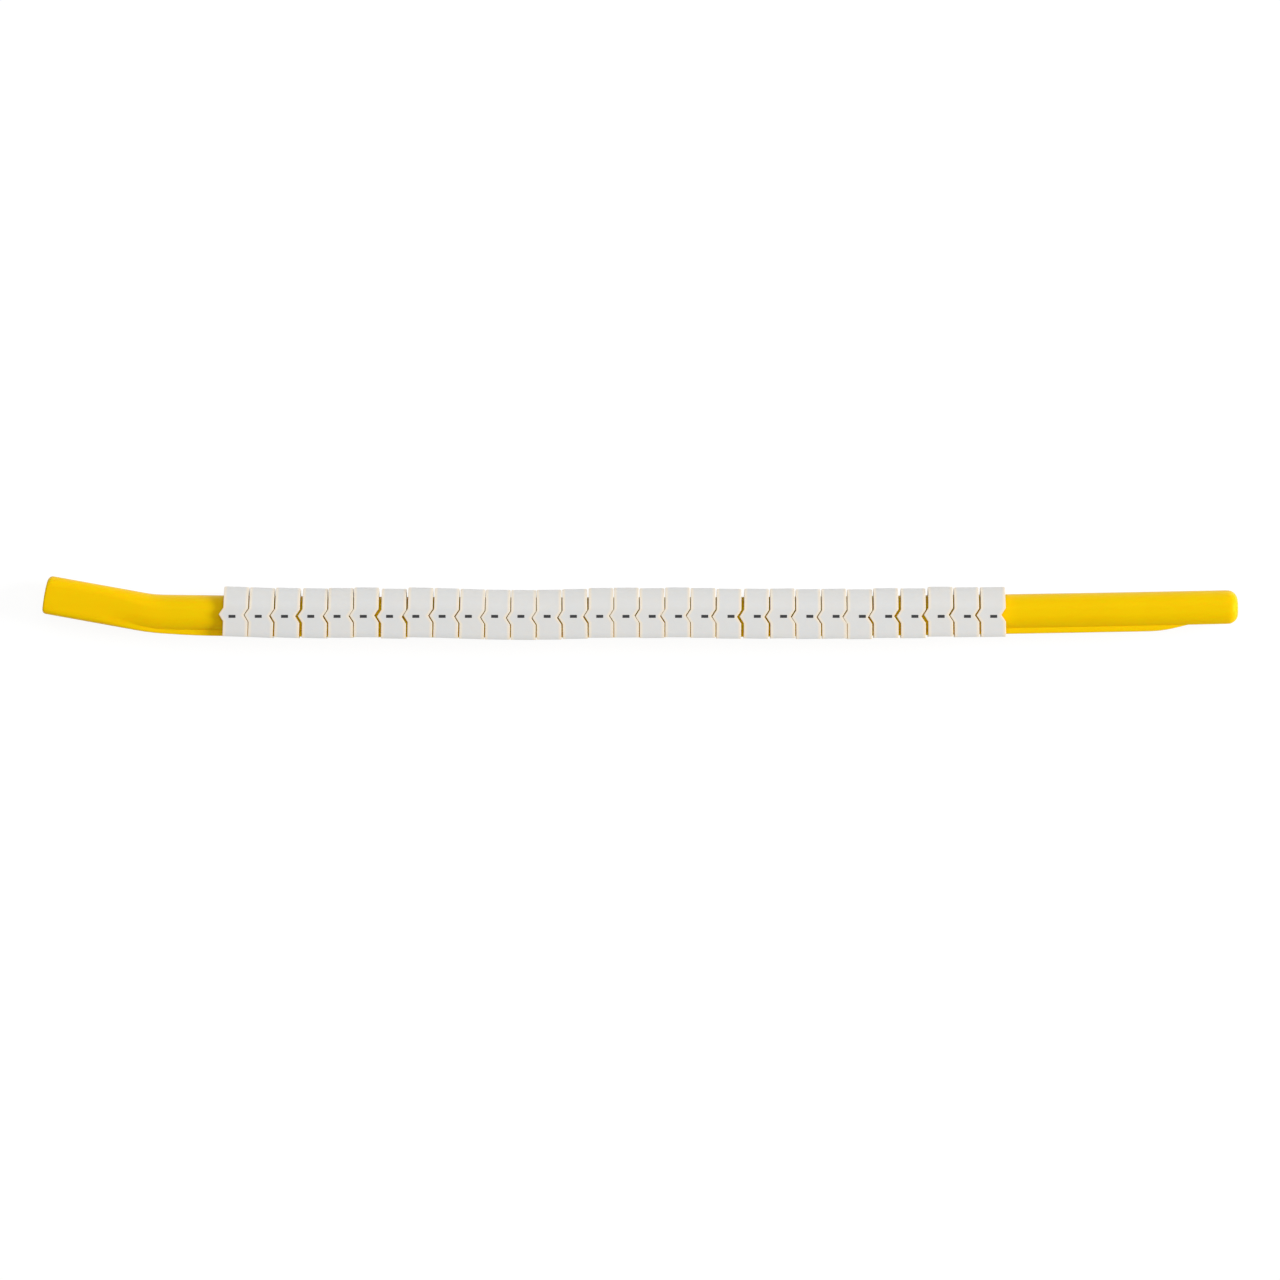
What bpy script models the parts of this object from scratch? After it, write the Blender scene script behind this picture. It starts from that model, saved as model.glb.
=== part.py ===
# Cable marker: a bent plastic wand that carries a column of clip-on sleeves.
# Metres, +Z up. X runs along the wand towards its nose and +Y is the sleeves' closed side.
# The part lies on the flat sides of its sleeves, and the origin is on the surface under it,
# below the middle of its outline.
import math

import bmesh
import bpy
from mathutils import Vector

# Sleeves: X is their length, Y their height and Z their width
SLEEVE_COUNT = 30
SLEEVE_LENGTH = 0.00398
SLEEVE_HEIGHT = 0.0080
SLEEVE_WALL = 0.00065
SLEEVE_END_ROUNDING = 0.00018   # where the closed side meets the two ends
CHEVRON_DEPTH = 0.0007
CHEVRON_HEIGHT = 0.00215
CHEVRON_DROP = 0.0045          # from the closed side to the chevron's point
MOUTH_LEAN = 0.00015           # how far the slit's edges lean in
MOUTH_HEIGHT = 0.0009          # over this last stretch of the side wall

# Fits between the sleeves and the wand
SIDE_CLEARANCE = 0.0003
CROWN_CLEARANCE = 0.00065
CONTACT_GAP = 0.00003          # the least that is left between two neighbours

# How the sleeves sit: gaps after a sleeve at the crown line, leans in degrees and lifts
SLEEVE_GAP = 0.00011
OWN_GAPS = {1: 0.00028, 2: 0.00017, 3: 0.00024, 4: 0.00013, 6: 0.00045, 7: 0.00026, 8: 0.00023,
            9: 0.00016, 10: 0.00008, 12: 0.00008, 13: 0.00014, 14: 0.00023, 15: 0.00009,
            19: 0.00017, 20: 0.00042, 21: 0.00017, 22: 0.00014, 23: 0.00014, 24: 0.00014,
            25: 0.00021, 26: 0.00040, 27: 0.00038, 28: 0.00017, 29: 0.00026}
LEANS = {1: 1.1, 2: 3.0, 3: 2.6, 4: 0.8, 7: 0.6, 8: 0.8, 9: 1.7, 10: 1.6, 11: 0.8, 12: 0.5,
         13: -0.2, 14: -0.8, 18: 0.3, 19: 0.5, 20: 1.0, 21: 1.2, 24: -0.2, 25: 0.5, 26: 0.3,
         27: 0.5, 28: 0.5}
LIFTS = {1: 0.00007, 4: -0.00006, 5: 0.00003, 6: 0.00014, 7: -0.00004, 8: 0.00017, 9: 0.00009,
         10: -0.00004, 11: -0.00013, 12: -0.00017, 13: -0.00012, 15: 0.00017, 16: 0.00021,
         17: 0.00011, 18: 0.00022, 19: 0.00011, 20: -0.00003, 21: -0.00005, 22: -0.00004,
         23: -0.00017, 24: -0.00015, 25: -0.00027, 26: -0.00012, 27: -0.00021, 29: -0.00014,
         30: -0.00016}

# Wand: an open channel with a closed round nose and a flat-sided bent handle
SHANK_LENGTH = 0.1735          # from the bend to the tip of the nose
BODY_WIDTH = 0.0052
ROOT_HEIGHT = 0.00559          # from the crown to the crease above the lips, at the bend
NOSE_HEIGHT = 0.00539          # the same at the nose
CHANNEL_WALL = 0.0006
UNDERCUT_RADIUS = 0.0026       # the flanks turn in under the body
UNDERCUT_TURN = 50.0
LIP_DEPTH = 0.00092
LIP_FLARE = 0.00015
LIP_ROUNDING = 0.0002
LIP_GROWTH = 0.0100            # from the bend to the lips' full depth
LIP_RUNOUT = 0.0061            # where the lips fade into the nose
PLAIN_NOSE = 0.0081            # the nose past the lips
NOSE_ROUNDING = 0.0013
NOSE_WALL = 0.0019
ROOT_WALL = 0.0006             # from the end of the bend to the channel
BOW_RADIUS = 4.8               # the whole wand is bowed a little towards its open side
BOW_LOW_POINT = 0.0666         # from the bend
BARE_ROOT = 0.0111             # from the bend to the first sleeve
HANDLE_LENGTH = 0.0173
HANDLE_WIDTH = 0.00615
HANDLE_THICKNESS = 0.0048
HANDLE_CROWN_ROUNDING = 0.0017
HANDLE_FOOT_ROUNDING = 0.0007
HANDLE_CAP_EDGE = 0.00045
HANDLE_BEND = 9.4
BEND_RADIUS = 0.019            # of the crown line where the handle bends away
HANDLE_BLEND = 0.0059          # the stretch over which the flat handle becomes round
ROOT_BLEND = 0.0016            # how far the blend runs past the bend
FLANK_START = 0.45             # shares of the handle's width between which its side
FLANK_END = 0.80               # carries the points that become the shank's undercut

ARC_STEPS = 8
UNDERCUT_STEPS = 4
LIP_STEPS = 2
BOW_STEPS = 8
RUNOUT_STEPS = 6
NOSE_STEPS = 4
BEND_STEPS = 4
BLEND_STEPS = 3
GROWTH_STEPS = 3
SLEEVE_ARC_STEPS = 7
SHARP_ANGLE = 35.0
MERGE_DISTANCE = 0.0000001

# Sizes that follow from the ones above
BODY_RADIUS = BODY_WIDTH / 2
SLEEVE_RADIUS = BODY_RADIUS + SIDE_CLEARANCE + SLEEVE_WALL
MID_Z = SLEEVE_RADIUS
SLEEVE_TOP = CROWN_CLEARANCE + SLEEVE_WALL
SLEEVE_BOTTOM = SLEEVE_TOP - SLEEVE_HEIGHT
SLEEVE_SHOULDER = SLEEVE_TOP - SLEEVE_RADIUS
CHEVRON_POINT = SLEEVE_TOP - CHEVRON_DROP


def bow_height(along):
    return (along - BOW_LOW_POINT) ** 2 / (2 * BOW_RADIUS)


def bow_slope(along):
    return math.atan((along - BOW_LOW_POINT) / BOW_RADIUS)


HANDLE_ANGLE = math.radians(HANDLE_BEND) - bow_slope(0.0)
BEND_REACH = BEND_RADIUS * math.tan(math.radians(HANDLE_BEND) / 2)
HANDLE_REACH = HANDLE_LENGTH * math.cos(HANDLE_ANGLE) + HANDLE_WIDTH * math.sin(HANDLE_ANGLE)
OUTLINE_TOP = bow_height(0.0) + HANDLE_LENGTH * math.sin(HANDLE_ANGLE)
OUTLINE_BOTTOM = SLEEVE_BOTTOM + min(LIFTS.values())
BEND_X = (HANDLE_REACH - SHANK_LENGTH) / 2
CROWN_Y = -(OUTLINE_TOP + OUTLINE_BOTTOM) / 2


def crown_slope(along):
    # The crown line's slope; lengths run from the bend, and back along the handle below zero
    if along >= BEND_REACH:
        return bow_slope(along)
    share = max(0.0, (along + BEND_REACH) / (2 * BEND_REACH))
    return math.radians(HANDLE_BEND) * share - HANDLE_ANGLE


def crown_point(along):
    # A point on the wand's crown line: straight handle, short arc at the bend, bowed shank
    if along >= BEND_REACH:
        return Vector((BEND_X + along, CROWN_Y + bow_height(along), MID_Z))
    length = max(BEND_REACH, -along)
    slope = crown_slope(along)
    x = BEND_X - length * math.cos(HANDLE_ANGLE)
    y = CROWN_Y + bow_height(0.0) + length * math.sin(HANDLE_ANGLE)
    x += BEND_RADIUS * (math.sin(slope) + math.sin(HANDLE_ANGLE))
    y += BEND_RADIUS * (math.cos(HANDLE_ANGLE) - math.cos(slope))
    return Vector((x, y, MID_Z))


def material(name, colour, roughness):
    mat = bpy.data.materials.new(name)
    mat.use_nodes = True
    shader = mat.node_tree.nodes["Principled BSDF"]
    shader.inputs["Base Color"].default_value = (*colour, 1.0)
    shader.inputs["Roughness"].default_value = roughness
    shader.inputs["Metallic"].default_value = 0.0
    mat.diffuse_color = (*colour, 1.0)
    return mat


def collection(name):
    made = bpy.data.collections.new(name)
    bpy.context.scene.collection.children.link(made)
    return made


def make_object(name, bm, target, mat=None):
    mesh = bpy.data.meshes.new(name)
    bmesh.ops.recalc_face_normals(bm, faces=bm.faces)
    bm.to_mesh(mesh)
    bm.free()
    mesh.shade_smooth()
    mesh.set_sharp_from_angle(angle=math.radians(SHARP_ANGLE))
    if mat:
        mesh.materials.append(mat)
    obj = bpy.data.objects.new(name, mesh)
    target.objects.link(obj)
    return obj


def body_height(along):
    # The body tapers evenly from the bend to the tip of the nose
    share = max(0.0, along) / SHANK_LENGTH
    return ROOT_HEIGHT + (NOSE_HEIGHT - ROOT_HEIGHT) * share


# Outlines are half sections: pairs of depth below the crown and distance from the middle.
def arch_points(radius):
    # The round crown, from beside the middle to its widest place
    points = []
    for i in range(1, ARC_STEPS + 1):
        a = math.pi / 2 * (1 - i / ARC_STEPS)
        points.append((BODY_RADIUS - radius * math.sin(a), radius * math.cos(a)))
    return points


def undercut_points(height, radius):
    # The flank's turn inwards above the lips, down to the height given
    turn = math.radians(UNDERCUT_TURN)
    depth = height - UNDERCUT_RADIUS * math.sin(turn)
    middle = BODY_RADIUS - UNDERCUT_RADIUS
    points = []
    for i in range(UNDERCUT_STEPS + 1):
        a = turn * i / UNDERCUT_STEPS
        points.append((depth + radius * math.sin(a), middle + radius * math.cos(a)))
    return points


def corner_points(low, out, edge):
    # A rounded lower corner, from its side to its foot
    points = []
    for i in range(LIP_STEPS + 1):
        a = math.pi / 2 * i / LIP_STEPS
        points.append((low - edge * (1 - math.sin(a)), out - edge * (1 - math.cos(a))))
    return points


def channel_outline(height, lip_depth):
    points = [(0.0, 0.0)] + arch_points(BODY_RADIUS) + undercut_points(height, UNDERCUT_RADIUS)
    crease = points[-1][1]
    share = min(1.0, lip_depth / LIP_DEPTH)
    low = height + lip_depth
    points += corner_points(low, crease + LIP_FLARE * share, LIP_ROUNDING * share)
    points.append((low, 0.0))
    return points


def handle_outline():
    # As many points as the channel's outline has, in the same order
    half = HANDLE_THICKNESS / 2
    edge = HANDLE_CROWN_ROUNDING
    points = [(0.0, 0.0)]
    for i in range(ARC_STEPS):
        a = math.pi / 2 * (1 - i / (ARC_STEPS - 1))
        points.append((edge * (1 - math.sin(a)), half - edge * (1 - math.cos(a))))
    for i in range(UNDERCUT_STEPS + 1):
        share = FLANK_START + (FLANK_END - FLANK_START) * i / UNDERCUT_STEPS
        points.append((HANDLE_WIDTH * share, half))
    points += corner_points(HANDLE_WIDTH, half, HANDLE_FOOT_ROUNDING)
    points.append((HANDLE_WIDTH, 0.0))
    return points


def blend_outlines(first, second, share):
    return [(p[0] + (q[0] - p[0]) * share, p[1] + (q[1] - p[1]) * share) for p, q in zip(first, second)]


def cutter_outline(height):
    # The inside of the channel, its neck between the lips and the flaring mouth
    points = [(CHANNEL_WALL, 0.0)] + arch_points(BODY_RADIUS - CHANNEL_WALL)
    points += undercut_points(height, UNDERCUT_RADIUS - CHANNEL_WALL)
    crease = undercut_points(height, UNDERCUT_RADIUS)[-1][1]
    neck = crease - CHANNEL_WALL
    below = 2 * LIP_DEPTH
    mouth = neck + below * LIP_FLARE / LIP_DEPTH
    points += [(height, neck), (height + below, mouth), (height + below, 0.0)]
    return points


def smooth(value):
    value = max(0.0, min(1.0, value))
    return value * value * (3 - 2 * value)


def lip_depth_at(along):
    full_end = SHANK_LENGTH - PLAIN_NOSE - LIP_RUNOUT
    handle_depth = HANDLE_WIDTH - ROOT_HEIGHT
    if along < full_end:
        share = min(1.0, max(0.0, along) / LIP_GROWTH)
        return handle_depth + (LIP_DEPTH - handle_depth) * math.sin(math.pi / 2 * share)
    share = min(1.0, (along - full_end) / LIP_RUNOUT)
    return LIP_DEPTH * math.cos(math.pi / 2 * share)


def ring(bm, outline, along):
    # One closed ring of points, square to the crown line
    slope = crown_slope(along)
    crown = crown_point(along)
    down = Vector((math.sin(slope), -math.cos(slope), 0.0))
    half = [crown + down * depth + Vector((0.0, 0.0, out)) for depth, out in outline]
    other = [crown + down * depth - Vector((0.0, 0.0, out)) for depth, out in outline[-2:0:-1]]
    return [bm.verts.new(p) for p in half + other]


def loft(rings, bm):
    for first, second in zip(rings, rings[1:]):
        for i in range(len(first)):
            j = (i + 1) % len(first)
            bm.faces.new((first[i], first[j], second[j], second[i]))
    caps = [bm.faces.new(reversed(rings[0])), bm.faces.new(rings[-1])]
    bmesh.ops.remove_doubles(bm, verts=bm.verts, dist=MERGE_DISTANCE)
    return caps


def blend_share(along):
    return smooth((along + HANDLE_BLEND) / (HANDLE_BLEND + ROOT_BLEND))


def outline_at(along):
    channel = channel_outline(body_height(along), lip_depth_at(along))
    return blend_outlines(handle_outline(), channel, blend_share(along))


def between(start, end, steps):
    # Evenly spaced places after the start, up to the end
    return [start + (end - start) * i / steps for i in range(1, steps + 1)]


def handle_rings(bm):
    # The flat-sided handle, from its end to the start of the blend
    return [ring(bm, handle_outline(), -length) for length in (HANDLE_LENGTH, HANDLE_BLEND)]


def shank_rings(bm):
    full_end = SHANK_LENGTH - PLAIN_NOSE - LIP_RUNOUT
    places = between(-HANDLE_BLEND, -BEND_REACH, BLEND_STEPS)
    places += between(-BEND_REACH, BEND_REACH, BEND_STEPS)
    places += between(BEND_REACH, LIP_GROWTH, GROWTH_STEPS)
    places += between(LIP_GROWTH, full_end, BOW_STEPS)
    places += between(full_end, full_end + LIP_RUNOUT, RUNOUT_STEPS)
    places.append(SHANK_LENGTH - NOSE_ROUNDING)
    return [ring(bm, outline_at(along), along) for along in places]


def nose_rings(bm):
    # The outline draws in towards the tip along a quarter circle
    rings = []
    for i in range(1, NOSE_STEPS + 1):
        a = math.pi / 2 * i / NOSE_STEPS
        along = SHANK_LENGTH - NOSE_ROUNDING * (1 - math.sin(a))
        half = body_height(along) / 2
        scale = 1 - NOSE_ROUNDING * (1 - math.cos(a)) / half
        outline = [(half + (d - half) * scale, out * scale) for d, out in outline_at(along)]
        rings.append(ring(bm, outline, along))
    return rings


def make_channel_cutter(target):
    bm = bmesh.new()
    start = BEND_REACH + ROOT_WALL
    places = [start] + between(start, SHANK_LENGTH - NOSE_WALL, BOW_STEPS)
    loft([ring(bm, cutter_outline(body_height(along)), along) for along in places], bm)
    cutter = make_object("channel_cutter", bm, target)
    cutter.hide_render = True
    cutter.display_type = "WIRE"
    return cutter


def make_wand(target, cutters, mat):
    bm = bmesh.new()
    rings = handle_rings(bm) + shank_rings(bm) + nose_rings(bm)
    caps = loft(rings, bm)
    bmesh.ops.bevel(bm, geom=list(caps[0].edges), offset=HANDLE_CAP_EDGE, segments=2, profile=0.5,
                    affect="EDGES", clamp_overlap=True)
    wand = make_object("wand", bm, target, mat)
    cut = wand.modifiers.new("channel", "BOOLEAN")
    cut.operation = "DIFFERENCE"
    cut.solver = "EXACT"
    cut.object = make_channel_cutter(cutters)
    return wand


# Heights on a sleeve are measured from the wand's crown line.
def sleeve_half_width(height):
    # The slit's edges lean in, the side walls are flat and the closed side is round
    if height > SLEEVE_SHOULDER:
        return math.sqrt(max(0.0, SLEEVE_RADIUS ** 2 - (height - SLEEVE_SHOULDER) ** 2))
    near_slit = max(0.0, 1 - (height - SLEEVE_BOTTOM) / MOUTH_HEIGHT)
    return SLEEVE_RADIUS - MOUTH_LEAN * near_slit ** 2


def sleeve_path():
    # The sleeve's outer line from one edge of the slit over the closed side to the other,
    # as pairs of height and distance from the middle
    heights = [SLEEVE_BOTTOM + MOUTH_HEIGHT * share for share in (0.0, 0.5, 1.0)]
    heights += [CHEVRON_POINT + CHEVRON_HEIGHT * share for share in (-0.5, 0.0, 0.5)]
    for i in range(SLEEVE_ARC_STEPS):
        a = math.pi / 2 * i / SLEEVE_ARC_STEPS
        heights.append(SLEEVE_SHOULDER + SLEEVE_RADIUS * math.sin(a))
    half = [(height, sleeve_half_width(height)) for height in sorted(heights)]
    return half + [(SLEEVE_TOP, 0.0)] + [(height, -out) for height, out in reversed(half)]


def end_shift(height):
    # How far both ends are cut towards the handle at this height, for the chevron
    away = abs(height - CHEVRON_POINT)
    return -CHEVRON_DEPTH * max(0.0, 1 - away / (CHEVRON_HEIGHT / 2))


def end_inset(height):
    # How far both ends draw in near the closed side
    rise = height - (SLEEVE_TOP - SLEEVE_END_ROUNDING)
    if rise <= 0:
        return 0.0
    return SLEEVE_END_ROUNDING - math.sqrt(max(0.0, SLEEVE_END_ROUNDING ** 2 - rise ** 2))


def make_sleeve_mesh(mat):
    bm = bmesh.new()
    rows = []
    for height, out in sleeve_path():
        low = -SLEEVE_LENGTH / 2 + end_shift(height) + end_inset(height)
        high = SLEEVE_LENGTH / 2 + end_shift(height) - end_inset(height)
        rows.append([bm.verts.new((x, height, out)) for x in (low, high)])
    for first, second in zip(rows, rows[1:]):
        bm.faces.new((first[0], first[1], second[1], second[0]))
    mesh = bpy.data.meshes.new("sleeve")
    bm.to_mesh(mesh)
    bm.free()
    mesh.shade_smooth()
    mesh.set_sharp_from_angle(angle=math.radians(SHARP_ANGLE))
    mesh.materials.append(mat)
    return mesh


def contact_gap(number):
    # The least gap at the crown line between this sleeve and the one before it. They meet at the
    # slit where this one leans further, at the closed side where it leans less, and at their
    # chevrons where it sits higher or lower along the lean.
    before = math.radians(LEANS.get(number - 1, 0.0))
    here = math.radians(LEANS.get(number, 0.0))
    turn = here - before
    step = LIFTS.get(number, 0.0) - LIFTS.get(number - 1, 0.0)
    step += SLEEVE_LENGTH * math.sin((here + before) / 2)
    corner = -turn * SLEEVE_BOTTOM if turn > 0 else -turn * SLEEVE_TOP
    steepness = CHEVRON_DEPTH / (CHEVRON_HEIGHT / 2)
    chevron = -turn * CHEVRON_POINT + steepness * abs(step)
    return CONTACT_GAP + max(corner, chevron)


def sleeve_places():
    # Distances of the sleeves' middles from the bend
    places = [BARE_ROOT + SLEEVE_LENGTH / 2]
    for number in range(2, SLEEVE_COUNT + 1):
        gap = max(OWN_GAPS.get(number - 1, SLEEVE_GAP), contact_gap(number))
        places.append(places[-1] + SLEEVE_LENGTH + gap)
    return places


def make_sleeves(target, mat):
    mesh = make_sleeve_mesh(mat)
    for number, along in enumerate(sleeve_places(), start=1):
        sleeve = bpy.data.objects.new(f"marker_{number:02d}", mesh)
        place = crown_point(along)
        sleeve.location = (place.x, place.y + LIFTS.get(number, 0.0), place.z)
        sleeve.rotation_euler = (0.0, 0.0, crown_slope(along) - math.radians(LEANS.get(number, 0.0)))
        wall = sleeve.modifiers.new("wall", "SOLIDIFY")
        wall.thickness = SLEEVE_WALL
        wall.offset = -1.0
        wall.use_even_offset = True
        target.objects.link(sleeve)


for old in list(bpy.data.objects):
    bpy.data.objects.remove(old, do_unlink=True)

parts = collection("cable_marker")
cutters = collection("cutters")
yellow = material("wand_plastic", (0.91, 0.59, 0.004), 0.42)
white = material("sleeve_plastic", (0.76, 0.76, 0.74), 0.38)
make_wand(parts, cutters, yellow)
make_sleeves(parts, white)
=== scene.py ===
import math

import bmesh
import bpy
from mathutils import Matrix, Vector


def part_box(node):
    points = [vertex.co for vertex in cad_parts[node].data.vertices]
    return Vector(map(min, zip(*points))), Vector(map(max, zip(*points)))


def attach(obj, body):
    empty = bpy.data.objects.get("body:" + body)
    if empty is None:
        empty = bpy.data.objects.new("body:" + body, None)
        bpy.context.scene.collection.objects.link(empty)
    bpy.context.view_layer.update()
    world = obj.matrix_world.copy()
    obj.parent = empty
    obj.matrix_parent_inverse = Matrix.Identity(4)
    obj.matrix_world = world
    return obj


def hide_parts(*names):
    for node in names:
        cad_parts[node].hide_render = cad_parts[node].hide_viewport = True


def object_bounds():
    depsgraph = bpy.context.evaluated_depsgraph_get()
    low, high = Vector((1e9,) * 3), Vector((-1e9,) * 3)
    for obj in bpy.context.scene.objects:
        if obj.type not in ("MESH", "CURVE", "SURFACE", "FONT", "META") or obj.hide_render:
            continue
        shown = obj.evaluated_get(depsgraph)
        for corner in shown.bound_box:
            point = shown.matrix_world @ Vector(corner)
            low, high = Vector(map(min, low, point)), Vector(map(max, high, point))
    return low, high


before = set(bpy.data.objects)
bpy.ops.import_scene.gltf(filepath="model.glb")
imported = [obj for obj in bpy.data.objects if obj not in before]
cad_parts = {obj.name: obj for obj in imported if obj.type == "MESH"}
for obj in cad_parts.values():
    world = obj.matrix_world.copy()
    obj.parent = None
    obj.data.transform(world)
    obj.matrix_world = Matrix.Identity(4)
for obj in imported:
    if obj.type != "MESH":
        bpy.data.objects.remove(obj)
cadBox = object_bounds()
print("stage: frame loaded,", len(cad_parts), "nodes")

scene = bpy.context.scene
scene.view_settings.view_transform = "Standard"

tinyStep = 1e-7                    # metres, for merging and comparing
sharpAngle = math.radians(38)      # edges that turn more than this are shaded sharp

*columnNodes, leadNode = sorted(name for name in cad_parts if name.startswith("marker_"))


def meshObject(name, bm, material):
    mesh = bpy.data.meshes.new(name)
    bm.to_mesh(mesh)
    bm.free()
    mesh.shade_smooth()
    mesh.set_sharp_from_angle(angle=sharpAngle)
    mesh.materials.append(material)
    made = bpy.data.objects.new(name, mesh)
    scene.collection.objects.link(made)
    return made


def plainMesh(source, name):
    # The evaluated object as a plain mesh of its own; the source goes
    depsgraph = bpy.context.evaluated_depsgraph_get()
    depsgraph.update()
    mesh = bpy.data.meshes.new_from_object(source.evaluated_get(depsgraph), depsgraph=depsgraph)
    mesh.name = name
    bpy.data.objects.remove(source)
    made = bpy.data.objects.new(name, mesh)
    scene.collection.objects.link(made)
    return made


# Materials

def newMaterial(name):
    material = bpy.data.materials.new(name)
    material.use_nodes = True
    nodes = material.node_tree.nodes
    return material, nodes, material.node_tree.links, nodes["Principled BSDF"]


def noiseNode(nodes, links, vector, scale, detail):
    noise = nodes.new("ShaderNodeTexNoise")
    noise.inputs["Scale"].default_value = scale
    noise.inputs["Detail"].default_value = detail
    links.new(vector, noise.inputs["Vector"])
    return noise.outputs["Fac"]


def stretched(nodes, links, vector, scale):
    mapping = nodes.new("ShaderNodeMapping")
    mapping.inputs["Scale"].default_value = scale
    links.new(vector, mapping.inputs["Vector"])
    return mapping.outputs["Vector"]


def ramp(nodes, links, factor, stops):
    made = nodes.new("ShaderNodeValToRGB")
    elements = made.color_ramp.elements
    while len(elements) < len(stops):
        elements.new(0.5)
    for element, (place, colour) in zip(elements, stops):
        element.position = place
        element.color = (*colour, 1.0)
    links.new(factor, made.inputs["Fac"])
    return made.outputs["Color"]


def mixColours(nodes, links, first, second, factor):
    # A mix node's colours go in at sockets 6 and 7 and come out at 2
    made = nodes.new("ShaderNodeMix")
    made.data_type = "RGBA"
    for socket, value in ((made.inputs[0], factor), (made.inputs[6], first), (made.inputs[7], second)):
        if isinstance(value, (int, float)):
            socket.default_value = value
        elif isinstance(value, tuple):
            socket.default_value = (*value, 1.0)
        else:
            links.new(value, socket)
    return made.outputs[2]


def remap(nodes, links, value, low, high, reach=(0.0, 1.0)):
    made = nodes.new("ShaderNodeMapRange")
    made.inputs["From Min"].default_value = reach[0]
    made.inputs["From Max"].default_value = reach[1]
    made.inputs["To Min"].default_value = low
    made.inputs["To Max"].default_value = high
    links.new(value, made.inputs["Value"])
    return made.outputs["Result"]


def bump(nodes, links, height, distance, strength, normal=None):
    made = nodes.new("ShaderNodeBump")
    made.inputs["Distance"].default_value = distance
    made.inputs["Strength"].default_value = strength
    links.new(height, made.inputs["Height"])
    if normal:
        links.new(normal, made.inputs["Normal"])
    return made.outputs["Normal"]


wandPlastic = {
    "colour": (0.945, 0.590, 0.0),
    "deeper": (0.925, 0.557, 0.0),
    "paler": (0.955, 0.606, 0.0),
    "roughness": (0.36, 0.48),
    "glossLevel": 0.3,
    "glossTint": (1.0, 0.70, 0.10),
    "translucence": 0.35,
    "translucenceDepth": 0.0015,
    "translucenceReach": (1.0, 0.30, 0.03),
    "flowScale": (45.0, 420.0, 420.0),     # streaks along the wand
    "flowDetail": 4.0,
    "flowStops": (0.35, 0.55, 0.75),       # where deeper, colour and paler stand in the noise
    "cloudNoise": (130.0, 3.0),            # each noise by its scale and detail
    "cloudStops": (0.3, 0.6),
    "cloudShare": 0.35,
    "grainNoise": (5200.0, 3.0),
    "grainDepth": 0.000010,
    "wavinessNoise": (260.0, 2.0),
    "wavinessDepth": 0.00005,
    "wavinessStretch": (0.35, 1.0, 1.0),
    "bumpStrength": 0.5,
}


def wandMaterial(values):
    material, nodes, links, shader = newMaterial("wandPlastic")
    place = nodes.new("ShaderNodeTexCoord").outputs["Object"]
    along = stretched(nodes, links, place, values["flowScale"])
    flow = noiseNode(nodes, links, along, 1.0, values["flowDetail"])
    cloud = noiseNode(nodes, links, place, *values["cloudNoise"])
    shades = (values["deeper"], values["colour"], values["paler"])
    streaks = ramp(nodes, links, flow, list(zip(values["flowStops"], shades)))
    clouds = ramp(nodes, links, cloud, list(zip(values["cloudStops"], shades)))
    mixed = mixColours(nodes, links, streaks, clouds, values["cloudShare"])
    links.new(mixed, shader.inputs["Base Color"])
    low, high = values["roughness"]
    links.new(remap(nodes, links, cloud, low, high), shader.inputs["Roughness"])
    shader.inputs["Specular IOR Level"].default_value = values["glossLevel"]
    shader.inputs["Specular Tint"].default_value = (*values["glossTint"], 1.0)
    shader.inputs["Subsurface Weight"].default_value = values["translucence"]
    shader.inputs["Subsurface Radius"].default_value = values["translucenceReach"]
    shader.inputs["Subsurface Scale"].default_value = values["translucenceDepth"]
    wavy = stretched(nodes, links, place, values["wavinessStretch"])
    waves = noiseNode(nodes, links, wavy, *values["wavinessNoise"])
    grain = noiseNode(nodes, links, place, *values["grainNoise"])
    normal = bump(nodes, links, waves, values["wavinessDepth"], values["bumpStrength"])
    normal = bump(nodes, links, grain, values["grainDepth"], values["bumpStrength"], normal)
    links.new(normal, shader.inputs["Normal"])
    return material


sleevePlastic = {
    "colour": (0.744, 0.740, 0.724),
    "warmer": (0.755, 0.740, 0.710),
    "cooler": (0.731, 0.735, 0.728),
    "paintedEndGlow": (0.900, 0.795, 0.640),      # painted glow: the wand's yellow light shining through the cut ends, painted into the sleeve's colour
    "paintedGlowReach": (0.70, 0.92),              # shares of the way from the middle to either end, where the painted glow starts and where it is full
    "paintedGlowStrength": 1.0,
    "roughness": (0.36, 0.50),
    "glossLevel": 0.4,
    "translucence": 0.15,
    "translucenceDepth": 0.0005,
    "translucenceReach": (1.0, 0.85, 0.7),
    "cloudNoise": (420.0, 3.0),            # each noise by its scale and detail
    "cloudStops": (0.3, 0.5, 0.7),         # where cooler, colour and warmer stand in the noise
    "cloudShare": 0.5,
    "unevenNoise": (480.0, 1.0),
    "unevenDepth": 0.00006,
    "unevenStrength": 0.5,
    "drawLines": (90.0, 2600.0, 2600.0),   # faint lines left by extrusion, along the sleeve
    "drawDetail": 3.0,
    "drawDepth": 0.000006,
    "drawStrength": 0.6,
    "grainNoise": (6500.0, 2.0),
    "grainDepth": 0.000008,
    "grainStrength": 0.4,
}


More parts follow.
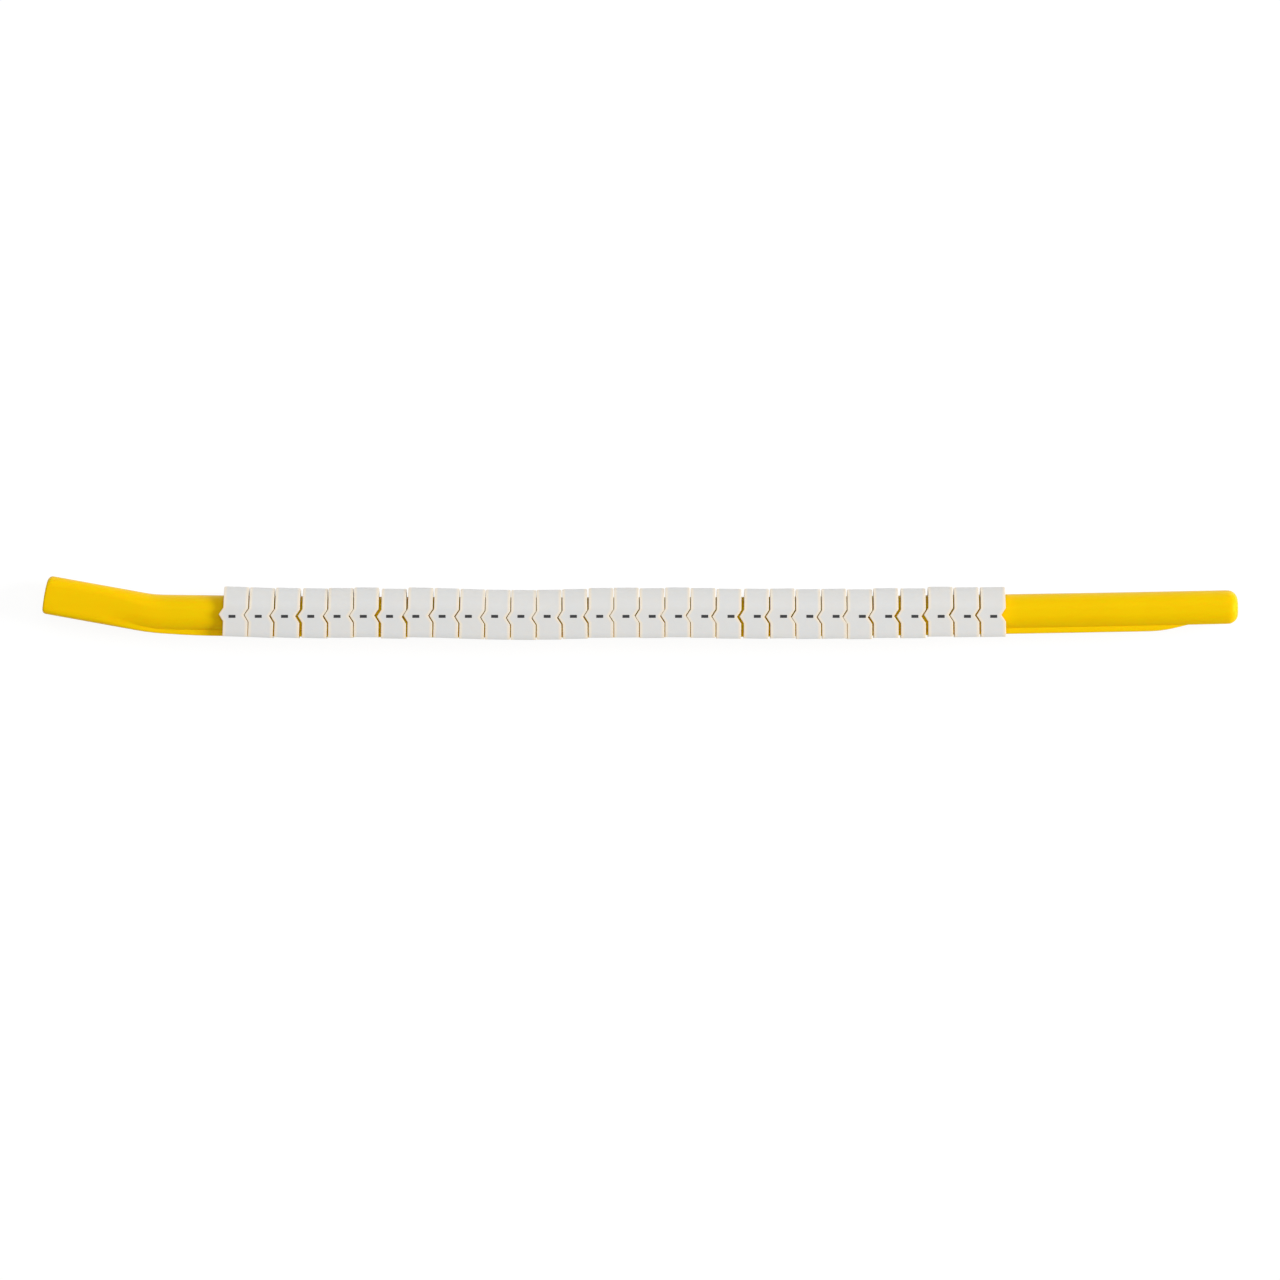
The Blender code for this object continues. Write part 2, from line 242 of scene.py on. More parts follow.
def sleeveMaterial(values):
    material, nodes, links, shader = newMaterial("sleevePlastic")
    place = nodes.new("ShaderNodeTexCoord").outputs["Object"]
    tint = nodes.new("ShaderNodeAttribute")
    tint.attribute_name = "sleeveTint"
    cloud = noiseNode(nodes, links, place, *values["cloudNoise"])
    own = mixColours(nodes, links, values["cooler"], values["warmer"], tint.outputs["Fac"])
    shades = (values["cooler"], values["colour"], values["warmer"])
    mottled = ramp(nodes, links, cloud, list(zip(values["cloudStops"], shades)))
    plain = mixColours(nodes, links, own, mottled, values["cloudShare"])
    along = nodes.new("ShaderNodeAttribute")
    along.attribute_name = "alongSleeve"
    away = nodes.new("ShaderNodeMath")
    away.operation = "ABSOLUTE"
    links.new(along.outputs["Fac"], away.inputs[0])
    # painted glow: the sleeve's colour turns towards the wand's yellow light near both cut ends
    paintedGlowShare = remap(nodes, links, away.outputs[0], 0.0, values["paintedGlowStrength"], values["paintedGlowReach"])
    links.new(mixColours(nodes, links, plain, values["paintedEndGlow"], paintedGlowShare), shader.inputs["Base Color"])
    low, high = values["roughness"]
    links.new(remap(nodes, links, cloud, low, high), shader.inputs["Roughness"])
    shader.inputs["Specular IOR Level"].default_value = values["glossLevel"]
    shader.inputs["Subsurface Weight"].default_value = values["translucence"]
    shader.inputs["Subsurface Radius"].default_value = values["translucenceReach"]
    shader.inputs["Subsurface Scale"].default_value = values["translucenceDepth"]
    uneven = noiseNode(nodes, links, place, *values["unevenNoise"])
    drawn = stretched(nodes, links, place, values["drawLines"])
    lines = noiseNode(nodes, links, drawn, 1.0, values["drawDetail"])
    grain = noiseNode(nodes, links, place, *values["grainNoise"])
    normal = bump(nodes, links, uneven, values["unevenDepth"], values["unevenStrength"])
    normal = bump(nodes, links, lines, values["drawDepth"], values["drawStrength"], normal)
    normal = bump(nodes, links, grain, values["grainDepth"], values["grainStrength"], normal)
    links.new(normal, shader.inputs["Normal"])
    return material


legendInk = {
    "colour": (0.018, 0.018, 0.020),
    "thinner": (0.045, 0.045, 0.048),
    "mottleNoise": (5200.0, 3.0),
    "mottleStops": (0.4, 0.75),
    "roughness": 0.55,
}


def inkMaterial(values):
    material, nodes, links, shader = newMaterial("legendInk")
    place = nodes.new("ShaderNodeTexCoord").outputs["Object"]
    mottle = noiseNode(nodes, links, place, *values["mottleNoise"])
    shades = (values["colour"], values["thinner"])
    inked = ramp(nodes, links, mottle, list(zip(values["mottleStops"], shades)))
    links.new(inked, shader.inputs["Base Color"])
    shader.inputs["Roughness"].default_value = values["roughness"]
    return material


wandFinish = wandMaterial(wandPlastic)
sleeveFinish = sleeveMaterial(sleevePlastic)
inkFinish = inkMaterial(legendInk)
print("stage: materials made")


# Wand: lengths along it are counted from the bend, and below zero along the handle

wandForm = {
    "shankLength": 0.1735,
    "bodyWidth": 0.0052,
    "rootHeight": 0.00559,         # crown to crease at the bend
    "noseHeight": 0.00539,         # the same at the nose
    "wall": 0.0006,
    "undercutRadius": 0.0026,
    "undercutTurn": 50.0,
    "lipDepth": 0.00092,
    "lipFlare": 0.00015,
    "lipOuterRound": 0.0002,
    "lipInnerRound": 0.00012,
    "lipGrowth": 0.0100,
    "lipRunout": 0.0061,
    "plainNose": 0.0081,
    "noseTopRounding": 0.0017,
    "noseFootRounding": 0.0017,
    "noseSideRounding": 0.0013,
    "noseWall": 0.0019,            # at least as much as the nose's roundings
    "rootWall": 0.0006,
    "bowRadius": 4.8,
    "bowLowPoint": 0.0666,
    "handleLength": 0.0172,
    "handleWidth": 0.00615,
    "handleThickness": 0.0048,
    "handleCrownRounding": 0.0017,
    "handleFootRounding": 0.0007,
    "handleBend": 9.4,
    "bendRadius": 0.019,
    "endBulge": 0.00014,           # how far the middle of the handle's end stands out
    "endTopRounding": 0.0008,
    "endFootRounding": 0.0006,
    "endSideRounding": 0.00028,
    "handleBlend": 0.0085,
    "rootBlend": 0.0030,
    "flankShares": (0.45, 0.80),   # where the handle's side carries the undercut's points
    "archSteps": 18,
    "undercutSteps": 9,
    "cornerSteps": 4,
    "endSteps": 9,
    "handleSteps": 3,
    "blendSteps": 10,
    "bendSteps": 10,
    "growthSteps": 8,
    "shankSteps": 34,
    "runoutSteps": 14,
    "noseSteps": 8,
}


def arcPoints(centre, radius, start, end, steps):
    # Points of depth and distance out, turning from one angle to the other in degrees;
    # 0 points out to the side and 90 points down
    points = []
    for i in range(steps + 1):
        a = math.radians(start + (end - start) * i / steps)
        points.append((centre[0] + radius * math.sin(a), centre[1] + radius * math.cos(a)))
    return points


def spread(start, end, steps):
    # Evenly spaced places after the start, up to the end
    return [start + (end - start) * i / steps for i in range(1, steps + 1)]


def bodyHeight(form, along):
    share = max(0.0, along) / form["shankLength"]
    return form["rootHeight"] + (form["noseHeight"] - form["rootHeight"]) * share


def lipDepthAt(form, along):
    fullEnd = form["shankLength"] - form["plainNose"] - form["lipRunout"]
    plain = form["handleWidth"] - form["rootHeight"]
    if along < fullEnd:
        share = min(1.0, max(0.0, along) / form["lipGrowth"])
        return plain + (form["lipDepth"] - plain) * math.sin(math.pi / 2 * share)
    share = min(1.0, (along - fullEnd) / form["lipRunout"])
    return form["lipDepth"] * max(0.0, math.cos(math.pi / 2 * share))


def undercutArc(form, height):
    # Centre of the arc that turns the flank in, and the crease's distance from the middle
    turn = math.radians(form["undercutTurn"])
    radius = form["undercutRadius"]
    centre = (height - radius * math.sin(turn), form["bodyWidth"] / 2 - radius)
    return centre, centre[1] + radius * math.cos(turn)


def shankHalf(form, along):
    # From the crown round the flank to the lip's inner corner and the middle of the underside
    height = bodyHeight(form, along)
    lip = lipDepthAt(form, along)
    radius = form["bodyWidth"] / 2
    share = min(1.0, lip / form["lipDepth"])
    centre, crease = undercutArc(form, height)
    points = arcPoints((radius, 0.0), radius, -90.0, 0.0, form["archSteps"])
    points += arcPoints(centre, form["undercutRadius"], 0.0, form["undercutTurn"], form["undercutSteps"])
    low = height + lip
    foot = crease + form["lipFlare"] * share
    outer = form["lipOuterRound"] * share
    inner = form["lipInnerRound"] * share
    points += arcPoints((low - outer, foot - outer), outer, 0.0, 90.0, form["cornerSteps"])
    hollow = foot - form["wall"]
    points += arcPoints((low - inner, hollow + inner), inner, 90.0, 180.0, form["cornerSteps"])
    return points + [(low, 0.0)]


def handleHalf(form):
    # The same number of points round the flat-sided handle
    half = form["handleThickness"] / 2
    crown, foot = form["handleCrownRounding"], form["handleFootRounding"]
    width = form["handleWidth"]
    points = [(0.0, 0.0)] + arcPoints((crown, half - crown), crown, -90.0, 0.0, form["archSteps"] - 1)
    first, last = form["flankShares"]
    steps = form["undercutSteps"]
    points += [(width * (first + (last - first) * i / steps), half) for i in range(steps + 1)]
    steps = form["cornerSteps"]
    points += arcPoints((width - foot, half - foot), foot, 0.0, 90.0, steps)
    inside = half - 2 * foot
    points += [(width, inside * (1 - i / (2 * steps))) for i in range(steps + 1)]
    return points + [(width, 0.0)]


def hollowHalf(form, along):
    # The channel's inside, from the lip's inner corner up to the middle of its roof
    height = bodyHeight(form, along)
    radius = form["bodyWidth"] / 2
    centre, crease = undercutArc(form, height)
    small = form["undercutRadius"] - form["wall"]
    points = [(height, crease - form["wall"])]
    points += arcPoints(centre, small, form["undercutTurn"], 0.0, form["undercutSteps"])
    points += arcPoints((radius, 0.0), radius - form["wall"], 0.0, -90.0, form["archSteps"])
    return points


def eased(value):
    value = max(0.0, min(1.0, value))
    return value * value * (3 - 2 * value)


def bowSlope(form, along):
    return math.atan((along - form["bowLowPoint"]) / form["bowRadius"])


def bowPoint(form, along):
    return Vector((along, (along - form["bowLowPoint"]) ** 2 / (2 * form["bowRadius"]), 0.0))


def crownLine(form, along):
    # Point and slope of the crown: straight handle, short arc at the bend, bowed shank
    turn = math.radians(form["handleBend"])
    reach = form["bendRadius"] * math.tan(turn / 2)
    if along >= reach:
        return bowPoint(form, along), bowSlope(form, along)
    angle = turn - bowSlope(form, 0.0)
    slope = turn * max(0.0, (along + reach) / (2 * reach)) - angle
    back = Vector((-math.cos(angle), math.sin(angle), 0.0))
    arc = Vector((math.sin(slope) + math.sin(angle), math.cos(angle) - math.cos(slope), 0.0))
    return bowPoint(form, 0.0) + back * max(reach, -along) + arc * form["bendRadius"], slope


def quarterInset(radius, away):
    # How far a rounded corner still stands back at this distance from the end face
    rest = max(0.0, radius - away)
    return radius - math.sqrt(radius * radius - rest * rest)


def drawnIn(half, height, width, top, foot, side):
    # The same outline with its top, foot and sides drawn in, for a rounded end
    tall = (height - top - foot) / height
    wide = 1 - side / (width / 2)
    return [(top + depth * tall, out * wide) for depth, out in half]


def halfAt(form, along):
    share = eased((along + form["handleBlend"]) / (form["handleBlend"] + form["rootBlend"]))
    both = zip(handleHalf(form), shankHalf(form, along))
    half = [(p[0] + (q[0] - p[0]) * share, p[1] + (q[1] - p[1]) * share) for p, q in both]
    fromEnd = along + form["handleLength"]
    if fromEnd < form["endTopRounding"]:
        insets = [quarterInset(form[key], fromEnd)
                  for key in ("endTopRounding", "endFootRounding", "endSideRounding")]
        return drawnIn(half, form["handleWidth"], form["handleThickness"], *insets)
    insets = [quarterInset(form[key], form["shankLength"] - along)
              for key in ("noseTopRounding", "noseFootRounding", "noseSideRounding")]
    return drawnIn(half, bodyHeight(form, along), form["bodyWidth"], *insets)


def wandPlaces(form):
    # Where the outline is set along the wand, from the handle's end to the tip of the nose
    reach = form["bendRadius"] * math.tan(math.radians(form["handleBend"]) / 2)
    fullEnd = form["shankLength"] - form["plainNose"] - form["lipRunout"]
    quarter = [math.pi / 2 * i / form["endSteps"] for i in range(form["endSteps"] + 1)]
    places = [-form["handleLength"] + form["endTopRounding"] * (1 - math.cos(a)) for a in quarter]
    places += spread(places[-1], -form["handleBlend"], form["handleSteps"])
    places += spread(-form["handleBlend"], -reach, form["blendSteps"])
    places += spread(-reach, reach, form["bendSteps"])
    places += spread(reach, reach + form["rootWall"], 1)
    places += spread(reach + form["rootWall"], form["lipGrowth"], form["growthSteps"])
    places += spread(form["lipGrowth"], fullEnd, form["shankSteps"])
    places += spread(fullEnd, fullEnd + form["lipRunout"], form["runoutSteps"])
    places += [form["shankLength"] - form["noseWall"]]
    quarter = [math.pi / 2 * i / form["noseSteps"] for i in range(1, form["noseSteps"] + 1)]
    return places + [form["shankLength"] - form["noseTopRounding"] * (1 - math.sin(a)) for a in quarter]


def buildWand(form):
    bm = bmesh.new()
    places = wandPlaces(form)
    straight = form["handleLength"] - form["handleBlend"]

    def ring(half, along, closed):
        # One ring of points round the wand; the handle's end bulges a little
        crown, slope = crownLine(form, along)
        down = Vector((math.sin(slope), -math.cos(slope), 0.0))
        back = Vector((-math.cos(slope), -math.sin(slope), 0.0))
        bulge = form["endBulge"] * max(0.0, (-along - form["handleBlend"]) / straight)

        def place(depth, out):
            level = 2 * depth / form["handleWidth"] - 1
            return bm.verts.new(crown + down * depth + back * bulge * (1 - level * level)
                                + Vector((0.0, 0.0, out)))

        near = [place(depth, out) for depth, out in half]
        mirrored = half[1:-1] if closed else half[:-1]
        return near + [place(depth, -out) for depth, out in mirrored][::-1]

    skins = [ring(halfAt(form, along), along, True) for along in places]
    foot = len(halfAt(form, 0.0)) - 1
    start = form["bendRadius"] * math.tan(math.radians(form["handleBend"]) / 2) + form["rootWall"]
    end = form["shankLength"] - form["noseWall"]
    hollows = {}
    for index, along in enumerate(places):
        if start - tinyStep <= along <= end + tinyStep:
            inside = ring(hollowHalf(form, along), along, False)
            hollows[index] = [skins[index][foot - 1]] + inside + [skins[index][foot + 1]]
    for index, (first, second) in enumerate(zip(skins, skins[1:])):
        channel = index in hollows and index + 1 in hollows
        for i in range(len(first)):
            if channel and i in (foot - 1, foot):
                continue
            j = (i + 1) % len(first)
            bm.faces.new((first[i], first[j], second[j], second[i]))
        if channel:
            first, second = hollows[index], hollows[index + 1]
            for i in range(len(first) - 1):
                bm.faces.new((first[i], first[i + 1], second[i + 1], second[i]))
    for index in (min(hollows), max(hollows)):
        bm.faces.new(hollows[index] + [skins[index][foot]])
    bm.faces.new(skins[0])
    bm.faces.new(skins[-1])
    loose = [vertex for vertex in bm.verts if not vertex.link_faces]
    bmesh.ops.delete(bm, geom=loose, context="VERTS")
    bmesh.ops.remove_doubles(bm, verts=bm.verts, dist=tinyStep)
    bmesh.ops.recalc_face_normals(bm, faces=bm.faces)
    return meshObject("wandSkin", bm, wandFinish)


def seatOnNode(piece, node):
    # Moves the mesh so that its box has the same middle as the node's
    low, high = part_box(node)
    corners = [vertex.co for vertex in piece.data.vertices]
    own = [sum((min(c[k] for c in corners), max(c[k] for c in corners))) / 2 for k in range(3)]
    piece.data.transform(Matrix.Translation((low + high) / 2 - Vector(own)))
    return piece


wandSkin = seatOnNode(buildWand(wandForm), "wand")
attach(wandSkin, "wand")
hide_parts("wand")
print("stage: wand built,", len(wandSkin.data.polygons), "faces")


# Sleeves: one fine sleeve, set on the wand wherever the frame has one

sleeveForm = {
    "length": 0.00395,
    "height": 0.0080,
    "width": 0.0071,
    "wall": 0.00065,
    "endRounding": 0.00018,
    "chevronDepth": 0.0007,
    "chevronHeight": 0.00215,
    "chevronDrop": 0.0045,
    "mouthLean": 0.00015,
    "mouthHeight": 0.0009,
    "edgeRounding": 0.00003,
    "edgeSteps": 2,
    "edgeAngle": 50.0,             # only edges that turn more are rounded
    "slitBand": 0.0003,            # the slit's edges are read this close to a solid's lowest point
    "tintSpread": 1.0,             # how far apart two sleeves' tints can lie
    "columnSeed": 7,
    "leadSeed": 3,
    "columns": (-1.0, -0.93, 0.0, 0.93, 1.0),     # shares of the way from the middle to either end
    "archSteps": 20,
    "chevronSteps": 6,
    "mouthSteps": 4,
}


def sleeveHalfWidth(form, height):
    # Heights are counted from the slit's edge; the side walls are flat and the closed side round
    radius = form["width"] / 2
    over = height - (form["height"] - radius)
    if over > 0:
        return math.sqrt(max(0.0, radius * radius - over * over))
    nearSlit = max(0.0, 1 - height / form["mouthHeight"])
    return radius - form["mouthLean"] * nearSlit ** 2


def sleevePath(form):
    # Height and distance from the middle, from one edge of the slit over the closed side
    radius = form["width"] / 2
    point = form["height"] - form["chevronDrop"]
    heights = [0.0] + spread(0.0, form["mouthHeight"], form["mouthSteps"])
    low, high = point - form["chevronHeight"] / 2, point + form["chevronHeight"] / 2
    heights += [low] + spread(low, high, form["chevronSteps"])
    for i in range(form["archSteps"]):
        heights.append(form["height"] - radius + radius * math.sin(math.pi / 2 * i / form["archSteps"]))
    half = [(height, sleeveHalfWidth(form, height)) for height in sorted(heights)]
    return half + [(form["height"], 0.0)] + [(height, -out) for height, out in reversed(half)]


def sleeveEnd(form, height):
    # The cut's shift towards the handle, and how far both ends draw in near the closed side
    away = abs(height - form["height"] + form["chevronDrop"])
    shift = -form["chevronDepth"] * max(0.0, 1 - away / (form["chevronHeight"] / 2))
    rise = max(0.0, height - form["height"] + form["endRounding"])
    inset = form["endRounding"] - math.sqrt(max(0.0, form["endRounding"] ** 2 - rise ** 2))
    return shift, inset


def buildSleeve(form):
    bm = bmesh.new()
    share = bm.verts.layers.float.new("alongSleeve")
    rows = []
    for height, out in sleevePath(form):
        shift, inset = sleeveEnd(form, height)
        half = form["length"] / 2 - inset
        rows.append([bm.verts.new((shift + half * side, height, out)) for side in form["columns"]])
        for side, vertex in zip(form["columns"], rows[-1]):
            vertex[share] = side
    for first, second in zip(rows, rows[1:]):
        for i in range(len(first) - 1):
            bm.faces.new((first[i], first[i + 1], second[i + 1], second[i]))
    shell = meshObject("sleeveShell", bm, sleeveFinish)
    wall = shell.modifiers.new("wall", "SOLIDIFY")
    wall.thickness = form["wall"]
    wall.offset = -1.0
    wall.use_even_offset = True
    rounding = shell.modifiers.new("rounding", "BEVEL")
    rounding.width = form["edgeRounding"]
    rounding.segments = form["edgeSteps"]
    rounding.limit_method = "ANGLE"
    rounding.angle_limit = math.radians(form["edgeAngle"])
    rounding.use_clamp_overlap = True
    return plainMesh(shell, "sleeveShape")


def slitMiddle(form, node):
    # The middle and the lean of the sleeve's slit edge, read from its solid
    corners = [vertex.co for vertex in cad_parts[node].data.vertices]
    lowest = min(corner.y for corner in corners)
    foot = [corner for corner in corners if corner.y < lowest + form["slitBand"]]
    middle = sum(corner.x for corner in foot) / len(foot)
    ends = []
    for side in (-1, 1):
        group = sorted({(round(c.x, 7), round(c.y, 7)) for c in foot if (c.x - middle) * side > 0})
        total = sum((Vector((x, y, 0.0)) for x, y in group), Vector())
        ends.append(total / len(group))
    line = ends[1] - ends[0]
    low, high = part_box(node)
    place = (ends[0] + ends[1]) / 2
    return Vector((place.x, place.y, (low.z + high.z) / 2)), math.atan2(line.y, line.x)


def placePoints(name, form, nodes):
    # One point for each sleeve, which carries the sleeve's lean
    mesh = bpy.data.meshes.new(name)
    found = [slitMiddle(form, node) for node in nodes]
    mesh.from_pydata([place for place, lean in found], [], [])
    lean = mesh.attributes.new("lean", "FLOAT", "POINT")
    lean.data.foreach_set("value", [angle for place, angle in found])
    points = bpy.data.objects.new(name, mesh)
    scene.collection.objects.link(points)
    return points


def newTree(name, inputs):
    # A tree with a geometry in and out and the named inputs given
    tree = bpy.data.node_groups.new(name, "GeometryNodeTree")
    tree.interface.new_socket("Geometry", in_out="INPUT", socket_type="NodeSocketGeometry")
    tree.interface.new_socket("Geometry", in_out="OUTPUT", socket_type="NodeSocketGeometry")
    for label, kind in inputs:
        tree.interface.new_socket(label, in_out="INPUT", socket_type=kind)
    return tree, tree.nodes.new("NodeGroupInput"), tree.nodes.new("NodeGroupOutput")


def setInput(modifier, label, value):
    for item in modifier.node_group.interface.items_tree:
        if item.item_type == "SOCKET" and item.in_out == "INPUT" and item.name == label:
            modifier[item.identifier] = value


def sleeveTree():
    tree, given, result = newTree("sleevesOnWand", [
        ("Sleeve", "NodeSocketObject"), ("Plastic", "NodeSocketMaterial"),
        ("Tint Spread", "NodeSocketFloat"), ("Seed", "NodeSocketInt")])
    nodes, links = tree.nodes, tree.links
    shape = nodes.new("GeometryNodeObjectInfo")
    links.new(given.outputs["Sleeve"], shape.inputs["Object"])
    lean = nodes.new("GeometryNodeInputNamedAttribute")
    lean.data_type = "FLOAT"
    lean.inputs["Name"].default_value = "lean"
    turn = nodes.new("ShaderNodeCombineXYZ")
    links.new(lean.outputs["Attribute"], turn.inputs["Z"])
    copies = nodes.new("GeometryNodeInstanceOnPoints")
    links.new(given.outputs["Geometry"], copies.inputs["Points"])
    links.new(shape.outputs["Geometry"], copies.inputs["Instance"])
    links.new(turn.outputs["Vector"], copies.inputs["Rotation"])
    chance = nodes.new("FunctionNodeRandomValue")
    chance.data_type = "FLOAT"         # its highest value is socket 3, and output 1 its result
    links.new(given.outputs["Tint Spread"], chance.inputs[3])
    links.new(given.outputs["Seed"], chance.inputs["Seed"])
    store = nodes.new("GeometryNodeStoreNamedAttribute")
    store.data_type = "FLOAT"
    store.domain = "INSTANCE"
    store.inputs["Name"].default_value = "sleeveTint"
    links.new(copies.outputs["Instances"], store.inputs["Geometry"])
    links.new(chance.outputs[1], store.inputs["Value"])
    real = nodes.new("GeometryNodeRealizeInstances")
    links.new(store.outputs["Geometry"], real.inputs["Geometry"])
    finish = nodes.new("GeometryNodeSetMaterial")
    links.new(real.outputs["Geometry"], finish.inputs["Geometry"])
    links.new(given.outputs["Plastic"], finish.inputs["Material"])
    links.new(finish.outputs["Geometry"], result.inputs["Geometry"])
    return tree


def setSleeves(name, form, nodes, tree, shape, body, seed):
    points = placePoints(name + "Places", form, nodes)
    modifier = points.modifiers.new("sleeves", "NODES")
    modifier.node_group = tree
    setInput(modifier, "Sleeve", shape)
    setInput(modifier, "Plastic", sleeveFinish)
    setInput(modifier, "Tint Spread", form["tintSpread"])
    setInput(modifier, "Seed", seed)
    sleeves = plainMesh(points, name)
    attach(sleeves, body)
    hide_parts(*nodes)
    return sleeves


sleeveShape = buildSleeve(sleeveForm)
sleevesTree = sleeveTree()
columnSleeves = setSleeves("columnSleeves", sleeveForm, columnNodes, sleevesTree, sleeveShape,
                           "marker_column", sleeveForm["columnSeed"])
leadSleeve = setSleeves("leadSleeve", sleeveForm, [leadNode], sleevesTree, sleeveShape,
                        "lead_marker", sleeveForm["leadSeed"])
bpy.data.objects.remove(sleeveShape)
print("stage: sleeves set,", len(columnSleeves.data.polygons) + len(leadSleeve.data.polygons), "faces")


# Legends: one printed dash on each sleeve, in a straight and even row

legendRow = {
    "firstX": -0.06525,
    "rowY": -0.00129,
    "pitch": 0.0042026,
    "dashLength": 0.00112,
    "dashHeight": 0.00048,
    "dashCorner": 0.00006,
    "cornerSteps": 4,
    "inkThickness": 0.00001,
    "sunk": 0.000004,
}


def legendTree(cornerSteps):
    tree, given, result = newTree("legendDashes", [
        ("Count", "NodeSocketInt"), ("First", "NodeSocketVector"), ("Step", "NodeSocketVector"),
        ("Dash Length", "NodeSocketFloat"), ("Dash Height", "NodeSocketFloat"),
        ("Corner", "NodeSocketFloat"), ("Thickness", "NodeSocketFloat"), ("Ink", "NodeSocketMaterial")])
    nodes, links = tree.nodes, tree.links
    row = nodes.new("GeometryNodeMeshLine")
    row.mode = "OFFSET"
    links.new(given.outputs["Count"], row.inputs["Count"])
    links.new(given.outputs["First"], row.inputs["Start Location"])
    links.new(given.outputs["Step"], row.inputs["Offset"])
    outline = nodes.new("GeometryNodeCurvePrimitiveQuadrilateral")
    links.new(given.outputs["Dash Length"], outline.inputs["Width"])
    links.new(given.outputs["Dash Height"], outline.inputs["Height"])
    corners = nodes.new("GeometryNodeFilletCurve")
    corners.mode = "POLY"
    corners.inputs["Count"].default_value = cornerSteps
    links.new(outline.outputs["Curve"], corners.inputs["Curve"])
    links.new(given.outputs["Corner"], corners.inputs["Radius"])
    sheet = nodes.new("GeometryNodeFillCurve")
    sheet.mode = "NGONS"
    links.new(corners.outputs["Curve"], sheet.inputs["Curve"])
    thick = nodes.new("GeometryNodeExtrudeMesh")
    thick.mode = "FACES"
    links.new(sheet.outputs["Mesh"], thick.inputs["Mesh"])
    links.new(given.outputs["Thickness"], thick.inputs["Offset Scale"])
    under = nodes.new("GeometryNodeFlipFaces")
    links.new(sheet.outputs["Mesh"], under.inputs["Mesh"])
    both = nodes.new("GeometryNodeJoinGeometry")
    links.new(thick.outputs["Mesh"], both.inputs["Geometry"])
    links.new(under.outputs["Mesh"], both.inputs["Geometry"])
    closed = nodes.new("GeometryNodeMergeByDistance")
    closed.inputs["Distance"].default_value = tinyStep
    links.new(both.outputs["Geometry"], closed.inputs["Geometry"])
    copies = nodes.new("GeometryNodeInstanceOnPoints")
    links.new(row.outputs["Mesh"], copies.inputs["Points"])
    links.new(closed.outputs["Geometry"], copies.inputs["Instance"])
    real = nodes.new("GeometryNodeRealizeInstances")
    links.new(copies.outputs["Instances"], real.inputs["Geometry"])
    finish = nodes.new("GeometryNodeSetMaterial")
    links.new(real.outputs["Geometry"], finish.inputs["Geometry"])
    links.new(given.outputs["Ink"], finish.inputs["Material"])
    links.new(finish.outputs["Geometry"], result.inputs["Geometry"])
    return tree


def printDashes(name, first, count, tree, values, body, surface):
    holder = bpy.data.objects.new(name + "Row", bpy.data.meshes.new(name + "Row"))
    scene.collection.objects.link(holder)
    modifier = holder.modifiers.new("dashes", "NODES")
    modifier.node_group = tree
    x = values["firstX"] + values["pitch"] * first
    setInput(modifier, "Count", count)
    setInput(modifier, "First", (x, values["rowY"], surface - values["sunk"]))
    setInput(modifier, "Step", (values["pitch"], 0.0, 0.0))
    setInput(modifier, "Dash Length", values["dashLength"])
    setInput(modifier, "Dash Height", values["dashHeight"])
    setInput(modifier, "Corner", values["dashCorner"])
    setInput(modifier, "Thickness", values["inkThickness"])
    setInput(modifier, "Ink", inkFinish)
    dashes = plainMesh(holder, name)
    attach(dashes, body)


legendsTree = legendTree(legendRow["cornerSteps"])
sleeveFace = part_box(leadNode)[1].z
columnCount = len(columnNodes)
printDashes("columnLegends", 0, columnCount, legendsTree, legendRow, "marker_column", sleeveFace)
printDashes("leadLegend", columnCount, 1, legendsTree, legendRow, "lead_marker", sleeveFace)
print("stage: legends printed")


# Camera, floor and light

viewPoint = {
    "pixelSize": 0.00016,       # metres on the object for each pixel of the 1280 pixel picture
    "pictureWidth": 1280,
    "distance": 2.0,            # from the sleeves' upper sides
    "originColumn": 639.8,      # where the part's origin lies in the picture
    "originRow": 608.3,
    "sensorWidth": 36.0,
    "nearest": 0.05,
    "farthest": 20.0,
}


def makeCamera(values):
    camera = bpy.data.cameras.new("camera")
    camera.sensor_width = values["sensorWidth"]
    width = values["pixelSize"] * values["pictureWidth"]
    camera.lens = camera.sensor_width * values["distance"] / width
    camera.clip_start = values["nearest"]
    camera.clip_end = values["farthest"]
    made = bpy.data.objects.new("camera", camera)
    scene.collection.objects.link(made)
    half = values["pictureWidth"] / 2
    x = (half - values["originColumn"]) * values["pixelSize"]
    y = (values["originRow"] - half) * values["pixelSize"]
    made.location = (x, y, cadBox[1][2] + values["distance"])
    scene.camera = made


floorLook = {
    "size": 3.0,
    "colour": (0.88, 0.88, 0.88),
    "roughness": 0.9,
    "glow": 1.06,
    "glowShare": 0.86,          # for the camera's and mirrored rays alone
    "gap": 0.00002,
}


